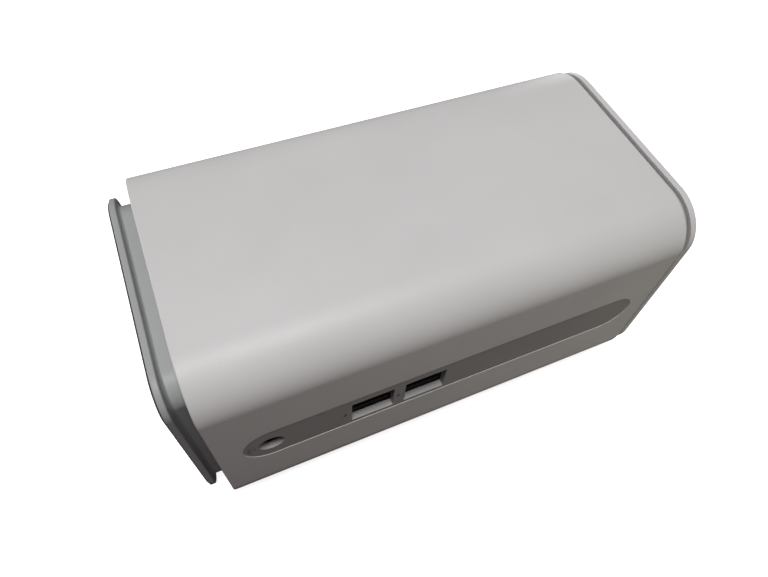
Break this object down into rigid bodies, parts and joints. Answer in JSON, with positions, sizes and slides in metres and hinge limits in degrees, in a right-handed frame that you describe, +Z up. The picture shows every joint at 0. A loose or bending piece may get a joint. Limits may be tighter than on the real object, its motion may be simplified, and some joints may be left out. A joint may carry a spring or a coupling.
{
  "type": "laptop docking station",
  "caption": "Square-section tower docking station with rounded edges, a recessed front strip of audio and USB ports, and rear connectors. It hooks a laptop to power, network and displays.",
  "frame": {"origin": "under the middle of the dock, on the surface that its flat side lies on", "axes": "+X along the dock from its foot to its end cap, -Y out of the front port strip, +Z up with the dock lying on its side"},
  "size_m": [0.1616, 0.0842, 0.0858],
  "materials": {
    "silver_plastic": "satin light grey moulded plastic",
    "grey_plastic": "satin mid grey moulded plastic",
    "strip_plastic": "satin grey moulded plastic",
    "black_plastic": "black moulded insulator",
    "rubber": "matt black anti-slip rubber",
    "steel": "tin-plated sheet steel",
    "dark_steel": "black-nickel plated steel",
    "screw_steel": "zinc-plated steel",
    "aluminium": "extruded aluminium",
    "circuit_board": "green solder mask on glass-fibre board",
    "thermal_silicone": "soft thermal pad"
  },
  "bodies": {
    "dock": {"base_foot": "grey_plastic", "base_rubber_sole": "rubber", "base_screw_1": "screw_steel", "base_screw_2": "screw_steel", "base_screw_3": "screw_steel", "base_screw_4": "screw_steel", "base_weight_plate": "steel", "board_screw_1": "screw_steel", "board_screw_2": "screw_steel", "board_screw_3": "screw_steel", "board_screw_4": "screw_steel", "bulk_capacitor_1": "aluminium", "bulk_capacitor_2": "aluminium", "cap_plate": "silver_plastic", "cap_screw_1": "screw_steel", "cap_screw_2": "screw_steel", "cap_screw_3": "screw_steel", "cap_screw_4": "screw_steel", "cap_spacer": "grey_plastic", "chassis_tray": "black_plastic", "displayport_shell": "steel", "displayport_tongue": "black_plastic", "ethernet_controller": "black_plastic", "ethernet_jack_contact_block": "black_plastic", "ethernet_jack_shell": "steel", "front_port_panel": "strip_plastic", "front_usb_1_shell": "dark_steel", "front_usb_1_tongue": "black_plastic", "front_usb_2_shell": "dark_steel", "front_usb_2_tongue": "black_plastic", "front_usb_collar": "black_plastic", "hdmi_shell": "steel", "hdmi_tongue": "black_plastic", "headset_jack": "black_plastic", "heat_sink": "aluminium", "main_board": "circuit_board", "outer_sleeve": "silver_plastic", "power_inductor": "black_plastic", "power_inlet_body": "black_plastic", "power_inlet_pin": "steel", "power_switch_body": "black_plastic", "rear_port_panel": "strip_plastic", "rear_usb_1_shell": "steel", "rear_usb_1_tongue": "black_plastic", "rear_usb_2_shell": "steel", "rear_usb_2_tongue": "black_plastic", "thermal_interface": "thermal_silicone", "upstream_usb_shell": "steel", "upstream_usb_tongue": "black_plastic", "usb_hub_controller": "black_plastic", "video_controller": "black_plastic"},
    "button": {"power_button": "grey_plastic", "power_switch_plunger": "black_plastic"}
  },
  "joints": [
    {"name": "power_button_press", "type": "slide", "parent": "dock", "child": "button", "axis": [0, -1, 0], "range_m": [0, 0.0006], "stiffness_N_per_m": 1500}
  ]
}
